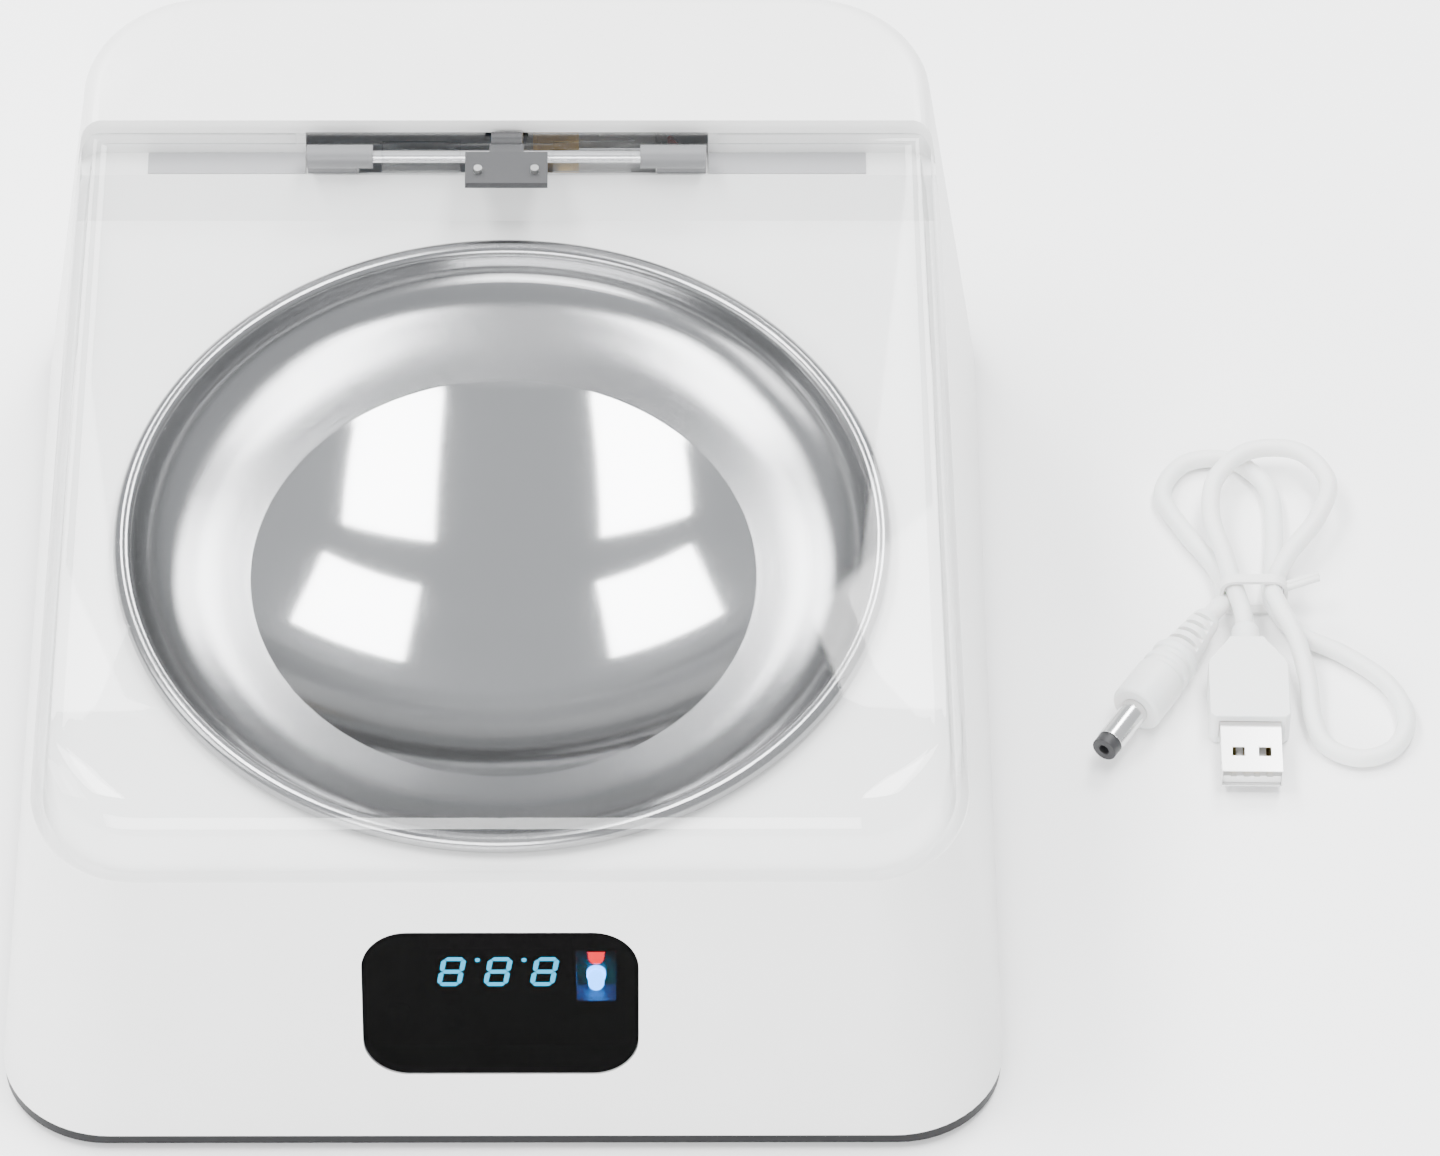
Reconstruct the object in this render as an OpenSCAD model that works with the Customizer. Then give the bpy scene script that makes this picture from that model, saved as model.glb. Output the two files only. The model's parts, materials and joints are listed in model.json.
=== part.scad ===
// Automatic pet feeder bowl: a wedge-shaped housing with a lift-out steel
// bowl, a clear motor-driven lid hinged at the rear, a dark sensor window
// with a three-digit display, and a short low-voltage charging lead.

/* [Body] */
// Width of the housing at its base
base_w = 190; // [170:1:220]
// Depth of the housing at its base
base_d = 230; // [215:1:250]
// Height of the lid's top plane above the table at mid depth
lid_h = 89.5; // [84:0.5:100]
// Slope of the lid and deck, rising to the rear
lid_tilt = 5; // [3:0.5:7]
// Inward lean of the side walls per unit of height
side_lean = 0.13; // [0.08:0.01:0.16]
// Inward lean of the front panel per unit of height
front_lean = 0.16; // [0.12:0.01:0.2]
// Inward lean of the rear wall per unit of height
rear_lean = 0.16; // [0.1:0.01:0.2]
// Corner radius at the front
front_r = 21; // [16:1:24]
// Corner radius at the rear
rear_r = 25; // [18:1:28]
// Wall thickness of the housing
wall = 2.4; // [2:0.1:3]

/* [Deck and hump] */
// Depth of the deck below the lid's top plane
deck_drop = 15.5; // [14:0.5:18]
// Depth of the hinge trough below the lid's top plane
trough_drop = 9.5; // [9.4:0.1:10]
// Where the hump meets the deck, measured rearwards from the centre
hump_y = 53.5; // [51:0.5:55]
// Front edge of the hinge trough
trough_y = 60.1; // [59:0.1:60.5]
// Rear face of the hinge trough
recess_y = 65.9; // [65.7:0.1:67]

/* [Bowl] */
// Outer diameter of the bowl's rolled rim
bowl_d = 147; // [140:1:150]
// Distance of the bowl's centre in front of the housing's centre
bowl_front = 27.2; // [26:0.2:28]
// Depth of the bowl below its rim
bowl_depth = 24; // [18:1:26]
// Sheet thickness of the bowl
bowl_t = 0.8; // [0.6:0.1:1.2]
// Diameter of the rolled rim
rim_d = 4; // [3:0.2:5]
// Diameter of the polished bottom
polish_d = 96; // [80:1:104]

/* [Lid] */
// Thickness of the clear lid
lid_t = 2; // [1.6:0.1:2.4]
// Gap between the lid's lower edge and the deck
lid_gap = 0.7; // [0.5:0.1:1.2]
// Distance of the hinge axis behind the centre
hinge_y = 60.6; // [60.4:0.1:61]
// Depth of the hinge axis below the lid's top plane
hinge_drop = 4.6; // [4.6:0.1:4.8]
// Diameter of the hinge pin
pin_d = 2.5; // [2:0.1:2.6]

/* [Window] */
// Width of the dark window
win_w = 51.2; // [48:0.2:56]
// Height of the dark window along the panel
win_h = 34.4; // [32:0.2:36]
// Corner radius of the dark window
win_r = 8.5; // [6:0.5:10]
// Height of the window's centre above the table
win_z = 36; // [34:0.5:38]
// Height of one display digit
digit_h = 7; // [6.6:0.1:7.4]

/* [Drive] */
// Gear tooth module
gear_m = 0.6; // [0.6:0.01:0.61]
// Teeth of the gear on the lid, as a full circle
lid_teeth = 14; // [14:1:14]
// Teeth of the motor pinion
pinion_teeth = 28; // [28:1:28]

/* [Lead] */
// Diameter of the charging cord
cord_d = 3.7; // [3.4:0.1:3.8]
// Outer diameter of the plug barrel
barrel_d = 5.5; // [5.5:0.1:5.5]

/* [Hidden] */
$fn = 64;
e = 0.1;

// The tilted frame: Z = 0 is the lid's top plane, Y runs up the slope.
ct = cos(lid_tilt);
st = sin(lid_tilt);
module tilted() {
    translate([0, 0, lid_h]) rotate([lid_tilt, 0, 0]) children();
}
// World height of a point in the tilted frame
function wz(y, z) = lid_h + y * st + z * ct;
// Tilted-frame Y of the front and rear faces at tilted height z
function yf(z) = (-base_d / 2 + front_lean * (lid_h + z * ct) + z * st) / (ct - front_lean * st);
function yr(z) = (base_d / 2 - rear_lean * (lid_h + z * ct) + z * st) / (ct + rear_lean * st);
function hw(y, z) = base_w / 2 - side_lean * wz(y, z);

edge_r = 3;
nose_r = 7;
function arc_in(r, t) = t >= r ? 0 : r - sqrt(r * r - (r - t) * (r - t));

// A rounded block with true round corners, front and rear radii apart
module round_block(w, d, h, rf, rr) {
    difference() {
        translate([-w / 2, -d / 2, 0]) cube([w, d, h]);
        for (s = [-1, 1]) {
            corner_bite(s, -1, w, d, h, rf);
            corner_bite(s, 1, w, d, h, rr);
        }
    }
}
module corner_bite(sx, sy, w, d, h, r) {
    translate([sx * (w / 2 - r), sy * (d / 2 - r), 0])
        difference() {
            translate([sx > 0 ? 0 : -r - 1, sy > 0 ? 0 : -r - 1, -1]) cube([r + 1, r + 1, h + 2]);
            translate([0, 0, -2]) cylinder(h = h + 4, r = r);
        }
}
// The leaning, rounded outer form of the housing, shrunk inwards by g
module form(g, z0) {
    bw = base_w / 2 - side_lean * z0 - g;
    bf = -base_d / 2 + front_lean * z0 + g;
    br = base_d / 2 - rear_lean * z0 - g;
    hull() {
        for (s = [-1, 1]) {
            translate([s * (bw - front_r + g), bf + front_r - g, z0])
                cylinder(h = e, r = front_r - g, $fn = 64);
            translate([s * (bw - rear_r + g), br - rear_r + g, z0])
                cylinder(h = e, r = rear_r - g, $fn = 64);
        }
        for (t = [0, 0.25, 0.8, 1.7, 3, 5, 7])
            tilted() translate([0, 0, -t - g])
                for (s = [-1, 1]) {
                    fy = yf(-t - g) + arc_in(nose_r, t) + g;
                    ry = yr(-t - g) - arc_in(edge_r, t) - g;
                    si = arc_in(edge_r, t) + g;
                    fr = front_r - g - 1;
                    rr = rear_r - g - 1;
                    translate([s * (hw(fy, -t) - si - fr), fy + fr, -e])
                        cylinder(h = e, r = fr, $fn = 64);
                    translate([s * (hw(ry, -t) - si - rr), ry - rr, -e])
                        cylinder(h = e, r = rr, $fn = 64);
                }
    }
}
// A prism across the width, from a profile of [y, z] points
module across(pts, w) {
    rotate([90, 0, 90]) translate([0, 0, -w / 2])
        linear_extrude(height = w) polygon(pts);
}
// The space above the deck and trough, enlarged by g
module lid_space(g) {
    tilted() {
        across([[-160, -deck_drop - g], [hump_y + g * 1.3, -deck_drop - g],
            [trough_y + g * 1.3, -trough_drop - g], [trough_y + g * 1.3, 20],
            [-160, 20]], 240);
        c = hw(recess_y, -trough_drop) + 0.7 - 6;
        translate([0, 0, -trough_drop - g]) {
            translate([-c, trough_y - 1, 0]) cube([2 * c, recess_y + g - trough_y + 1, 40]);
            for (s = [-1, 1]) {
                translate([s * c, recess_y - 6, 0]) cylinder(h = 40, r = 6 + g);
                translate([s > 0 ? c : -c - 40, trough_y - 1, 0])
                    cube([40, recess_y - 6 - trough_y + 1, 40]);
            }
        }
    }
}

// ---- Housing -------------------------------------------------------------
shell_z = 4;
slot_w = 78.4;
hole_r = 69.9;
well_t = 1.6;
well_drop = 27.5;
boss_front = [76, -90];
boss_rear = [72, 88];
// Motor axis in the tilted frame, straight below and behind the hinge
gear_dist = gear_m * (lid_teeth + pinion_teeth) / 2 + 0.1;
motor_y = hinge_y + gear_dist * cos(45);
motor_z = -hinge_drop - gear_dist * sin(45);

module at_window() {
    translate([0, -base_d / 2 + front_lean * win_z, win_z])
        rotate([90 - atan(front_lean), 0, 0]) children();
}
module rounded_plate(w, h, r, t) {
    translate([0, 0, 0]) round_block(w, h, t, r, r);
}
jack_x = 52;
jack_z = 17;
jack_y = base_d / 2 - rear_lean * jack_z;

module housing_boss(x, y, top) {
    translate([x, y, shell_z + 2]) cylinder(h = top - shell_z - 2, d = 8.4);
}
module housing_raw() {
    difference() {
        form(0, shell_z);
        lid_space(0);
        difference() {
            translate([0, 0, -0.02]) form(wall, shell_z);
            lid_space(wall);
        }
    }
    // catch well under the bowl
    intersection() {
        tilted() translate([0, -bowl_front, -deck_drop - well_drop - well_t])
            cylinder(h = well_drop + well_t - 0.3, r = hole_r + well_t);
        form(1, shell_z);
    }
    intersection() {
        form(1, shell_z + 0.5);
        union() {
            for (s = [-1, 1]) {
                housing_boss(s * boss_front[0], boss_front[1], 64);
                housing_boss(s * boss_rear[0], boss_rear[1], 92);
            }
            // posts that carry the motor bracket
            tilted() for (x = [7, 26])
                translate([x, 83, -22]) cylinder(h = 21, d = 7);
            // web that joins the posts to the rear wall
            tilted() translate([5.6, 83, -22]) cube([22, 24, 1.6]);
        }
    }
    // shelves under the hinge brackets
    tilted() for (s = [-1, 1])
        translate([s > 0 ? 29 : -39.6, trough_y + 0.4, -trough_drop - 3])
            cube([10.6, 7, 2.6]);
}
module upper_shell() {
    color("#ECECEA")
    difference() {
        housing_raw();
        // bowl opening and well
        tilted() translate([0, -bowl_front, -deck_drop - well_drop])
            cylinder(h = well_drop + 20, r = hole_r);
        // hinge slot through the trough floor and into the hump
        tilted() translate([-slot_w / 2, trough_y + 0.4, -trough_drop - 0.4])
            cube([slot_w, recess_y - trough_y + 3.4, 6.4]);
        tilted() translate([-29, trough_y + 1, -trough_drop - 5])
            cube([58, recess_y - trough_y + 2.8, 6]);
        // relief of the trough's edge for the teeth and the knuckles
        tilted() translate([-5, hinge_y, -hinge_drop]) rotate([0, 90, 0]) cylinder(h = 10, r = 5.4);
        // room for the pinion and the gearbox
        tilted() translate([-4.2, motor_y, motor_z]) rotate([0, 90, 0])
            cylinder(h = 8.4, r = 9.4);
        tilted() translate([4, motor_y - 6.3, motor_z - 5.3]) cube([26.3, 12.6, 10.6]);
        // screw holes of the hinge brackets
        tilted() for (s = [-1, 1])
            translate([s * 34, bracket_y, -trough_drop - 4]) cylinder(h = 5, d = 1.9);
        // window with its rebate
        at_window() translate([0, 0, -1.45]) rounded_plate(win_w, win_h, win_r, 6);
        at_window() translate([0, 0, -6]) rounded_plate(win_w + 4, win_h + 4, win_r + 2, 4.56);
        // charging socket
        translate([jack_x, jack_y - 12, jack_z]) rotate([-90, 0, 0]) cylinder(h = 20, d = 9);
        // blind holes for the base screws
        for (s = [-1, 1]) {
            translate([s * boss_front[0], boss_front[1], 0]) cylinder(h = 16, d = 2.6);
            translate([s * boss_rear[0], boss_rear[1], 0]) cylinder(h = 16, d = 2.6);
        }
        // blind holes for the motor bracket screws
        tilted() for (x = [7, 26]) translate([x, 83, -23]) cylinder(h = 9, d = 2.1);
    }
}
plate_t = 2.5;
module base_plate() {
    color("#1B1B1D")
    difference() {
        union() {
            translate([0, 0, 1.5])
                round_block(base_w - 1.6, base_d - 1.8, plate_t, front_r - 1, rear_r - 1);
            // locating rib inside the skirt
            translate([0, 0, 3.9]) difference() {
                round_block(base_w - 8.4, base_d - 8.8, 2, front_r - 4, rear_r - 4);
                translate([0, 0, -1]) round_block(base_w - 12, base_d - 12.4, 4, front_r - 6, rear_r - 6);
            }
            // standoffs of the control board, as tall as the rib and the cradle allow
            for (x = [17, 59]) for (y = [66, 94])
                translate([x, y, 3.9]) cylinder(h = 4.1, d = 5.6);
        }
        for (s = [-1, 1]) {
            base_screw_hole(s * boss_front[0], boss_front[1]);
            base_screw_hole(s * boss_rear[0], boss_rear[1]);
        }
        for (x = [17, 59]) for (y = [66, 94])
            translate([x, y, 3]) cylinder(h = 6, d = 1.7);
        // shallow seats for the feet
        for (x = [-62, 62]) for (y = [-96, 96])
            translate([x, y, 1]) cylinder(h = 1, d = 14.2);
        // relief of the rib round the corner bosses and the socket
        for (s = [-1, 1]) {
            translate([s * boss_front[0], boss_front[1], 4]) cylinder(h = 3, d = 9.4);
            translate([s * boss_rear[0], boss_rear[1], 4]) cylinder(h = 3, d = 9.4);
        }
    }
}
module base_screw_hole(x, y) {
    translate([x, y, 0]) cylinder(h = 5, d = 3.4);
    translate([x, y, 1.4]) cylinder(h = 1.4, d = 6);
}
module rubber_feet() {
    color("#2A2A2C") for (x = [-62, 62]) for (y = [-96, 96])
        translate([x, y, 0]) difference() {
            cylinder(h = 2, d = 14);
            translate([0, 0, -1]) cylinder(h = 1.5, d = 8);
        }
}
// One pan-head screw, head downwards at the origin
module screw_up(d, l, hd, hh) {
    difference() {
        union() {
            cylinder(h = hh, d = hd);
            cylinder(h = hh + l, d = d);
        }
        for (a = [0, 90]) rotate(a) translate([-hd * 0.3, -0.3, -0.1]) cube([hd * 0.6, 0.6, 0.8]);
    }
}
module base_screws() {
    color("#9FA3A6") for (s = [-1, 1]) {
        translate([s * boss_front[0], boss_front[1], 1.5]) screw_up(2.55, 10, 5.4, 1.3);
        translate([s * boss_rear[0], boss_rear[1], 1.5]) screw_up(2.55, 10, 5.4, 1.3);
    }
}

// ---- Hinge ---------------------------------------------------------------
module hinge_strip() {
    color("#A9ABAD") tilted() difference() {
        translate([-70, trough_y + 0.3, -trough_drop]) cube([140, recess_y - trough_y - 0.5, 0.25]);
        translate([-slot_w / 2 - 0.1, trough_y - 1, -trough_drop - 1]) cube([slot_w + 0.2, 10, 3]);
    }
}
module hinge_brackets() {
    color("#DADBDC") tilted() for (s = [-1, 1]) mirror([s > 0 ? 0 : 1, 0, 0])
        difference() {
            union() {
                translate([26, hinge_y, -hinge_drop]) rotate([0, 90, 0]) cylinder(h = 12.8, r = 2.3);
                // leg under the barrel, and the foot screwed to the shelf
                translate([29.2, trough_y + 0.5, -trough_drop - 0.4]) cube([9.6, 1.6, 4.6]);
                translate([29.2, trough_y + 0.5, -trough_drop - 0.4]) cube([9.6, 6.2, 1.6]);
            }
            translate([20, hinge_y, -hinge_drop]) rotate([0, 90, 0]) cylinder(h = 13.2, d = pin_d);
            translate([34, bracket_y, -20]) cylinder(h = 30, d = 2.1);
            translate([34, bracket_y, -trough_drop + 0.2]) cylinder(h = 3, d = 3.8);
        }
}
bracket_y = trough_y + 4.2;
module hinge_screws() {
    color("#B9BCBF") tilted() for (s = [-1, 1])
        translate([s * 34, bracket_y, -trough_drop + 1.15]) rotate([180, 0, 0])
            screw_up(1.88, 3.4, 3.6, 0.95);
}
module hinge_pin() {
    color("#C4C7CA") tilted() translate([-33, hinge_y, -hinge_drop]) rotate([0, 90, 0])
        cylinder(h = 66, d = pin_d);
}

// ---- Drive ---------------------------------------------------------------
function deg(r) = r * 180 / PI;
function inv_a(rb, r) = r <= rb ? 0 : deg(sqrt(r * r / (rb * rb) - 1)) - acos(rb / r);
function tooth_half(z, m, r) = 90 / z - deg(0.05 / (m * z / 2))
    + inv_a(m * z / 2 * cos(25), m * z / 2) - inv_a(m * z / 2 * cos(25), r);
function polar(r, a) = [r * cos(a), r * sin(a)];
// Profile of a spur gear with one tooth centred on the X axis
function gear_pts(z, m) = let (rp = m * z / 2, rf = rp - 1.25 * m, ra = rp + m,
    rs = [rf, rp - 0.45 * m, rp, rp + 0.5 * m, ra])
    [for (i = [0 : z - 1]) each concat(
        [for (j = [0 : 4]) polar(rs[j], 360 * i / z - tooth_half(z, m, rs[j]))],
        [for (j = [4 : -1 : 0]) polar(rs[j], 360 * i / z + tooth_half(z, m, rs[j]))])];
module spur(z, m, w) { linear_extrude(height = w) polygon(gear_pts(z, m)); }

// Puts a profile drawn in X-Y across the width, so that its X axis points
// to the rear and down by 45 degrees, towards the motor axis.
module mesh_frame(y, z, x0) {
    translate([x0, y, z]) rotate([0, 90, 0]) rotate([0, 0, 45]) children();
}
module lid_gear() {
    color("#E8E6DE") tilted() {
        difference() {
            union() {
                intersection() {
                    mesh_frame(hinge_y, -hinge_drop, -3) spur(lid_teeth, gear_m, 6);
                    // only the working sector keeps its teeth
                    translate([-5, hinge_y, -hinge_drop]) rotate([0, 90, 0])
                        linear_extrude(height = 10)
                        polygon([[0, 0], polar(9, 134), polar(9, 100), polar(9, 70), polar(9, 40), polar(9, 6)]);
                }
                translate([-3.3, hinge_y, -hinge_drop]) rotate([0, 90, 0]) cylinder(h = 6.6, r = 2.5);
                // foot that is fastened under the lid
                translate([-8, hinge_y - 9, -lid_t - 1.6]) cube([16, 8, 1.6]);
                translate([-2.6, hinge_y - 6, -hinge_drop - 1]) cube([5.2, 6, 3.4]);
            }
            translate([-10, hinge_y, -hinge_drop]) rotate([0, 90, 0]) cylinder(h = 20, d = pin_d + 0.1);
            translate([-10, hinge_y - 12, -lid_t - 0.05]) cube([20, 30, 10]);
            for (x = [-5.5, 5.5]) translate([x, hinge_y - 6, -8]) cylinder(h = 10, d = 1.7);
        }
    }
}
module gear_screws() {
    color("#B9BCBF") tilted() for (x = [-5.5, 5.5])
        translate([x, hinge_y - 6, -lid_t - 2.6]) screw_up(1.6, 2.6, 3, 1);
}
module pinion() {
    color("#F0EEE6") tilted() difference() {
        mesh_frame(motor_y, motor_z, -3) rotate(180 + 180 / pinion_teeth) spur(pinion_teeth, gear_m, 6);
        translate([-6, motor_y, motor_z]) rotate([0, 90, 0]) cylinder(h = 12, d = 3);
        for (a = [0 : 60 : 300]) translate([-6, motor_y, motor_z]) rotate([a, 0, 0])
            translate([0, 0, 4.4]) rotate([0, 90, 0]) cylinder(h = 12, d = 2.2);
    }
}
module motor_shaft() {
    color("#C4C7CA") tilted() translate([-3.6, motor_y, motor_z]) rotate([0, 90, 0])
        cylinder(h = 11.4, d = 3);
}
module gearbox() {
    color("#C9A95B") tilted() translate([5, motor_y, motor_z]) difference() {
        union() {
            translate([0, -6, -5]) cube([0.9, 12, 10]);
            translate([0.9, -5.4, -4.4]) cube([7, 10.8, 8.8]);
            translate([7.9, -6, -5]) cube([1.1, 12, 10]);
            for (s = [-1, 1]) translate([0.5, s * 4.7, s * 3.7]) rotate([0, 90, 0]) cylinder(h = 8, d = 2);
        }
        translate([-1, 0, 0]) rotate([0, 90, 0]) cylinder(h = 5, d = 3.1);
    }
}
module motor_can() {
    color("#B4B7BA") tilted() translate([14, motor_y, motor_z]) {
        intersection() {
            rotate([0, 90, 0]) cylinder(h = 15, d = 12);
            translate([0, -6, -5]) cube([15, 12, 10]);
        }
        translate([14.9, 0, 0]) rotate([0, 90, 0]) cylinder(h = 1.2, d = 4.4);
        for (s = [-1, 1]) translate([14.9, s * 3.6 - 0.9, -0.3]) cube([2.4, 1.8, 0.6]);
    }
}
module motor_bracket() {
    color("#D4D5D6") tilted() difference() {
        union() {
            // cradle floor, reaching back under the posts
            translate([10, motor_y - 7.6, motor_z - 6.8]) cube([14, 15.2, 1.6]);
            translate([3.5, motor_y + 6.2, -23.7]) cube([26, 11, 1.7]);
            translate([10, motor_y + 6.2, -23.7]) cube([14, 1.6, 23.7 + motor_z + 4.2]);
            translate([10, motor_y - 7.8, motor_z - 6.8]) cube([14, 1.5, 6]);
        }
        for (x = [7, 26]) translate([x, 83, -26]) cylinder(h = 8, d = 2.3);
    }
}
module bracket_screws() {
    color("#9FA3A6") tilted() for (x = [7, 26])
        translate([x, 83, -25]) screw_up(2.05, 8.5, 3.8, 1.3);
}

// ---- Sensor window -------------------------------------------------------
led_x = 17.7;
module window_lens() {
    color("#0B0B0D") at_window() {
        translate([0, 0, -1.55]) rounded_plate(win_w - 0.3, win_h - 0.3, win_r, 1.45);
        translate([0, 0, -2.45]) rounded_plate(win_w + 3.4, win_h + 3.4, win_r + 1.7, 1);
    }
}
function seg_shape(w, t) = [[-w / 2, 0], [-w / 2 + t / 2, t / 2], [w / 2 - t / 2, t / 2],
    [w / 2, 0], [w / 2 - t / 2, -t / 2], [-w / 2 + t / 2, -t / 2]];
digit_w = 4.6;
digit_pitch = 8.6;
disp_x = -0.4;
disp_y = 5.6;
module slanted() {
    multmatrix([[1, 0.17, 0, 0], [0, 1, 0, 0], [0, 0, 1, 0], [0, 0, 0, 1]]) children();
}
// Corner points of one segment, leaning to the right by 10 degrees
function lean(p) = [p[0] + 0.17 * p[1], p[1]];
function bar(cx, cy, w, t, up) = [for (p = seg_shape(w, t))
    lean(up ? [cx + p[1], cy + p[0]] : [cx + p[0], cy + p[1]])];
module digit(grow, h) {
    t = 0.95 + grow;
    lw = digit_w - 1.05 + grow;
    lh = digit_h / 2 - 0.6 + grow;
    for (y = [-1, 0, 1])
        linear_extrude(height = h) polygon(bar(0, y * (digit_h - 0.95) / 2, lw, t, false));
    for (x = [-1, 1]) for (y = [-1, 1])
        linear_extrude(height = h)
            polygon(bar(x * (digit_w - 0.95) / 2, y * (digit_h - 0.95) / 4, lh, t, true));
}
module each_digit() {
    for (i = [-1, 0, 1]) translate([disp_x + i * digit_pitch, disp_y, 0]) children();
}
module dots(d, h) {
    for (i = [-1, 0]) translate([disp_x + (i + 0.5) * digit_pitch + 0.5, disp_y + 2.8, 0])
        cylinder(h = h, d = d);
}
module display_block() {
    color("#17181A") at_window() difference() {
        translate([disp_x - 14, disp_y - 5.6, -7.4]) cube([27.4, 11.2, 4.8]);
        each_digit() translate([0, 0, -3.4]) digit(0.1, 3);
        translate([0, 0, -3.4]) dots(1.1, 3);
    }
}
module display_segments() {
    color("#6FE3F2") at_window() {
        each_digit() translate([0, 0, -3.35]) digit(-0.12, 0.75);
        translate([0, 0, -3.35]) dots(0.9, 0.75);
    }
}
module led_shroud() {
    color("#1E1F22") at_window() translate([led_x - 4.4, -2.3, -7.4]) difference() {
        cube([8.8, 13.4, 4.8]);
        translate([0.8, 0.8, -1]) cube([7.2, 11.8, 8]);
    }
}
module led(x, y, d, h) {
    at_window() translate([x, y, -7.4]) {
        cylinder(h = 1, d = d * 1.2);
        cylinder(h = h - d / 2, d = d);
        translate([0, 0, h - d / 2]) sphere(d = d, $fn = 32);
        for (s = [-1, 1]) translate([s * 0.9, 0, -2.4]) cylinder(h = 2.5, d = 0.5, $fn = 16);
    }
}
module led_blue() { color("#3FA9FF") led(led_x, 1.4, 3, 4.4); }
module led_red() { color("#C0261E") led(led_x, 7.7, 3, 4.4); }
module ir_emitter() { color("#BFC6D8") led(-19, -8, 4, 4.6); }
module ir_receiver() { color("#222126") led(-9, -8, 4, 4.6); }
module sensor_board() {
    color("#1F5B36") at_window() difference() {
        translate([0, 0, -8.6]) round_block(50, 33, 1.2, 3, 3);
        for (p = [[led_x, 1.4], [led_x, 7.7], [-19, -8], [-9, -8]])
            for (s = [-1, 1]) translate([p[0] + s * 0.9, p[1], -10]) cylinder(h = 4, d = 0.6, $fn = 16);
    }
}

// ---- Power and control ---------------------------------------------------
board_z = 8;
module control_board() {
    color("#1F5B36") difference() {
        translate([12, 61, board_z]) cube([52, 38, 1.2]);
        for (x = [17, 59]) for (y = [66, 94]) translate([x, y, 7]) cylinder(h = 4, d = 2.3);
    }
}
module board_parts() {
    z = board_z + 1.2;
    color("#26272A") {
        translate([30, 70, z]) cube([9, 9, 1.5]);
        translate([46, 66, z]) cube([6, 5, 1.5]);
        translate([43, 86, z]) cube([6.4, 6.4, 3]);
        translate([33, 89, z]) cylinder(h = 7, d = 6.3);
        translate([14, 73, z]) cube([5.8, 8, 4.5]);
        translate([14, 84, z]) cube([5.8, 6, 4.5]);
        translate([54, 73, z]) cube([6, 7.5, 4.5]);
    }
}
module board_screws() {
    color("#9FA3A6") for (x = [17, 59]) for (y = [66, 94])
        translate([x, y, board_z + 2.6]) rotate([180, 0, 0]) screw_up(1.66, 5, 3.8, 1.4);
}
cell = [-31, 78, 15];
module battery_cell() {
    color("#3E7FB8") translate(cell) rotate([0, 90, 0]) {
        translate([0, 0, -32.5]) cylinder(h = 64, d = 18.4);
        translate([0, 0, 31.4]) cylinder(h = 1.4, d = 6);
    }
}
module battery_cradle() {
    color("#2A2A2C") translate([cell[0], cell[1], 4]) difference() {
        union() {
            for (x = [-25, 19]) translate([x, -12.2, 0]) cube([6, 24.4, 14]);
            translate([-30, -10.4, 0]) cube([60, 20.8, 1.4]);
        }
        translate([-40, 0, 11]) rotate([0, 90, 0]) cylinder(h = 80, d = 18.6);
    }
}
module dc_jack() {
    color("#1B1B1D") translate([jack_x, jack_y, jack_z]) difference() {
        union() {
            rotate([-90, 0, 0]) translate([0, 0, -4.2]) cylinder(h = 4.1, d = 8.8);
            translate([-5.6, -15.2, -6]) cube([11.2, 11.2, 12]);
        }
        rotate([-90, 0, 0]) translate([0, 0, -11.5]) cylinder(h = 12, d = 5.7);
    }
}
module jack_contact() {
    color("#C9CBCD") translate([jack_x, jack_y, jack_z]) {
        rotate([-90, 0, 0]) translate([0, 0, -11.5]) cylinder(h = 9, d = 2);
        translate([-0.8, -18.2, -3]) cube([1.6, 3, 0.5]);
    }
}

// ---- Swept tubes ---------------------------------------------------------
function unit(v) = v / norm(v);
// Smooth curve through the points: each span is split into n steps
function cr(p0, p1, p2, p3, t) = 0.5 * (2 * p1 + (p2 - p0) * t + (2 * p0 - 5 * p1 + 4 * p2 - p3) * t * t
    + (3 * p1 - p0 - 3 * p2 + p3) * t * t * t);
function smooth(p, n) = let (k = len(p)) concat([for (i = [0 : k - 2]) for (j = [0 : n - 1])
    cr(p[max(i - 1, 0)], p[i], p[i + 1], p[min(i + 2, k - 1)], j / n)], [p[k - 1]]);
function tangent(p, i) = unit(p[min(i + 1, len(p) - 1)] - p[max(i - 1, 0)]);
// Side direction carried along the curve without twist
function sides(p, i = 0, s = [0, 0, 1], acc = []) = i == len(p) ? acc :
    let (t = tangent(p, i), n = unit(s - (s * t) * t)) sides(p, i + 1, n, concat(acc, [n]));
module tube(p, d, k) {
    n = sides(p, 0, abs(tangent(p, 0)[2]) > 0.9 ? [1, 0, 0] : [0, 0, 1]);
    m = len(p);
    pts = [for (i = [0 : m - 1]) let (t = tangent(p, i), b = cross(t, n[i]))
        for (j = [0 : k - 1]) p[i] + d / 2 * (cos(360 * (j + 0.5) / k) * n[i] + sin(360 * (j + 0.5) / k) * b)];
    faces = concat([[for (j = [k - 1 : -1 : 0]) j]],
        [for (i = [0 : m - 2]) for (j = [0 : k - 1]) each [
            [i * k + j, i * k + (j + 1) % k, (i + 1) * k + j],
            [i * k + (j + 1) % k, (i + 1) * k + (j + 1) % k, (i + 1) * k + j]]],
        [[for (j = [0 : k - 1]) (m - 1) * k + j]]);
    polyhedron(points = pts, faces = faces, convexity = 6);
}
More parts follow.
